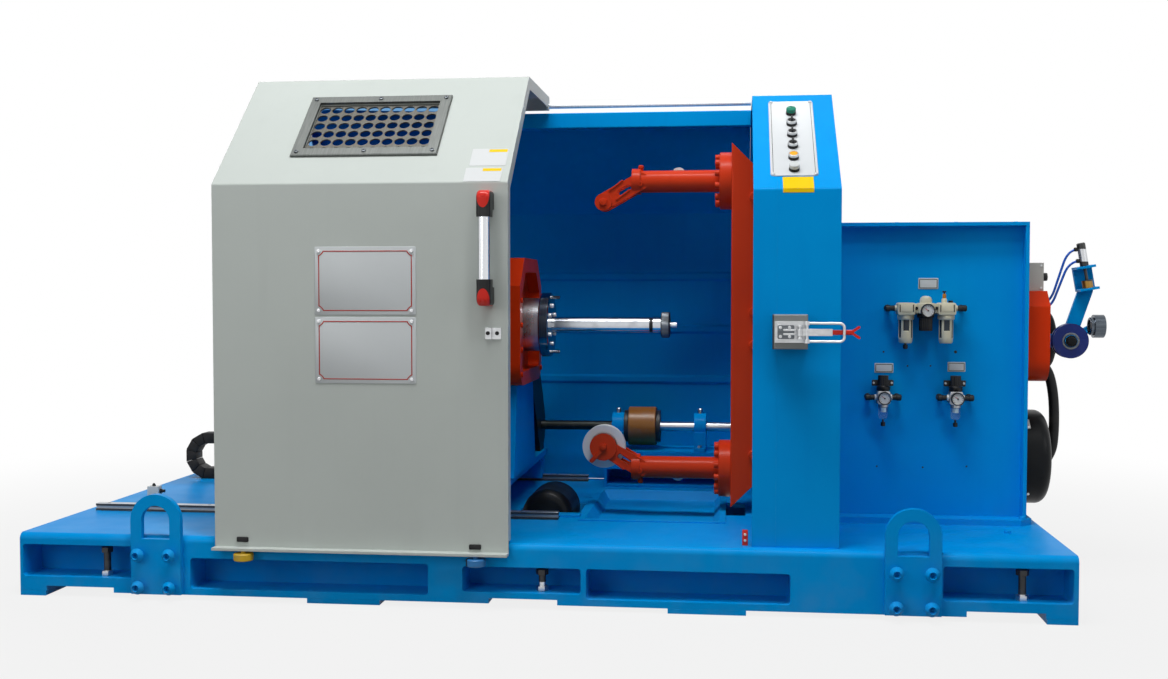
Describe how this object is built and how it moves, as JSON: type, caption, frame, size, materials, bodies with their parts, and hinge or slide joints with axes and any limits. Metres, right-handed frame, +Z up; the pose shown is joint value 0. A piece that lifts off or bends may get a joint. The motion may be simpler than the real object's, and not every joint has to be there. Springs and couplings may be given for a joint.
{
  "type": "single twist stranding machine",
  "caption": "Single twist stranding machine: welded bed, sliding folded-sheet hood, bow rotor, take-up spindle on a traverse carriage, headstock and drive end with air units.",
  "frame": {"origin": "on the floor under the middle of the machine's box", "axes": "+X along the bed to the drive end, +Y to the back, +Z up"},
  "size_m": [3.445, 1.494, 1.649],
  "materials": {
    "blue_paint": "gloss paint",
    "grey_paint": "satin paint",
    "red_paint": "gloss paint",
    "polished_steel": "polished",
    "zinc_plate": "zinc plated",
    "window_frame_grey": "satin",
    "window_plate": "perforated sheet",
    "red_plastic": "moulded",
    "white_plate": "white plate",
    "dark_plastic": "moulded",
    "black_paint": "satin",
    "cream_plastic": "moulded",
    "clear_bowl": "clear moulding",
    "gauge_face": "dial",
    "blue_tube": "tube",
    "amber_coupling": "moulded",
    "pulley_white": "moulded"
  },
  "bodies": {
    "bed": {"front_sill": "blue_paint", "rear_sill": "blue_paint", "end_sills": "blue_paint", "deck_plate": "blue_paint", "pit_tray": "blue_paint", "foot_pads": "blue_paint", "lifting_lugs": "blue_paint", "levelling_bolts": "zinc_plate", "carriage_rails": "polished_steel", "energy_chain": "dark_plastic", "traverse_motor": "black_paint", "top_rod": "polished_steel", "top_beam": "blue_paint", "rear_cover": "blue_paint", "headstock_cabinet": "blue_paint", "headstock_rim": "blue_paint", "control_plate": "white_plate", "control_buttons": "dark_plastic", "latch_block": "grey_paint", "latch_base": "zinc_plate", "service_panel": "blue_paint", "drive_cover": "blue_paint", "bearing_stand": "blue_paint", "main_motor": "black_paint", "belt_guard": "red_paint", "switch_box": "grey_paint", "conduits": "dark_plastic", "entry_bracket": "blue_paint", "entry_tube": "polished_steel", "entry_cylinder": "polished_steel", "air_tubes": "blue_tube", "air_service_unit": "cream_plastic", "air_bowls": "clear_bowl", "air_fittings": "dark_plastic", "pressure_gauges": "gauge_face", "small_regulators": "dark_plastic", "rear_shaft": "polished_steel", "shaft_coupling": "amber_coupling", "shaft_bench": "blue_paint"},
    "hood": {"hood_shell": "grey_paint", "hood_window_frame": "window_frame_grey", "hood_window_pane": "window_plate", "hood_handle_grip": "zinc_plate", "hood_handle_ends": "red_plastic", "hood_catch": "zinc_plate", "hood_rollers": "zinc_plate"},
    "carriage": {"carriage_base": "blue_paint", "carriage_pedestal": "blue_paint", "takeup_housing": "red_paint", "belt_case": "black_paint"},
    "spindle": {"driver_flange": "polished_steel", "takeup_spindle": "polished_steel"},
    "rotor": {"bow_beam": "red_paint", "bow_arms": "red_paint", "main_shaft": "polished_steel"},
    "guide_pulley": {"bow_pulley": "pulley_white"},
    "inlet_wheel": {"entry_wheel": "blue_paint"},
    "latch": {"latch_lever": "zinc_plate", "latch_grip": "red_plastic"}
  },
  "joints": [
    {"name": "hood_slide", "type": "slide", "parent": "bed", "child": "hood", "axis": [1, 0, 0], "range_m": [0, 0.76]},
    {"name": "carriage_traverse", "type": "slide", "parent": "bed", "child": "carriage", "axis": [1, 0, 0], "range_m": [-0.17, 0.17]},
    {"name": "spindle_spin", "type": "hinge", "parent": "carriage", "child": "spindle", "pos_m": [-0.1715, 0.032, 0.835], "axis": [1, 0, 0], "continuous": true},
    {"name": "rotor_spin", "type": "hinge", "parent": "bed", "child": "rotor", "pos_m": [0.4865, 0.032, 0.835], "axis": [1, 0, 0], "continuous": true},
    {"name": "guide_pulley_spin", "type": "hinge", "parent": "rotor", "child": "guide_pulley", "pos_m": [0.0475, 0.032, 0.411], "axis": [0, 1, 0], "continuous": true},
    {"name": "inlet_wheel_spin", "type": "hinge", "parent": "bed", "child": "inlet_wheel", "pos_m": [1.6125, 0.032, 0.786], "axis": [0, 1, 0], "continuous": true},
    {"name": "latch_swing", "type": "hinge", "parent": "bed", "child": "latch", "pos_m": [0.6855, -0.712, 0.835], "axis": [0, 0, -1], "range_deg": [0, 165]}
  ]
}
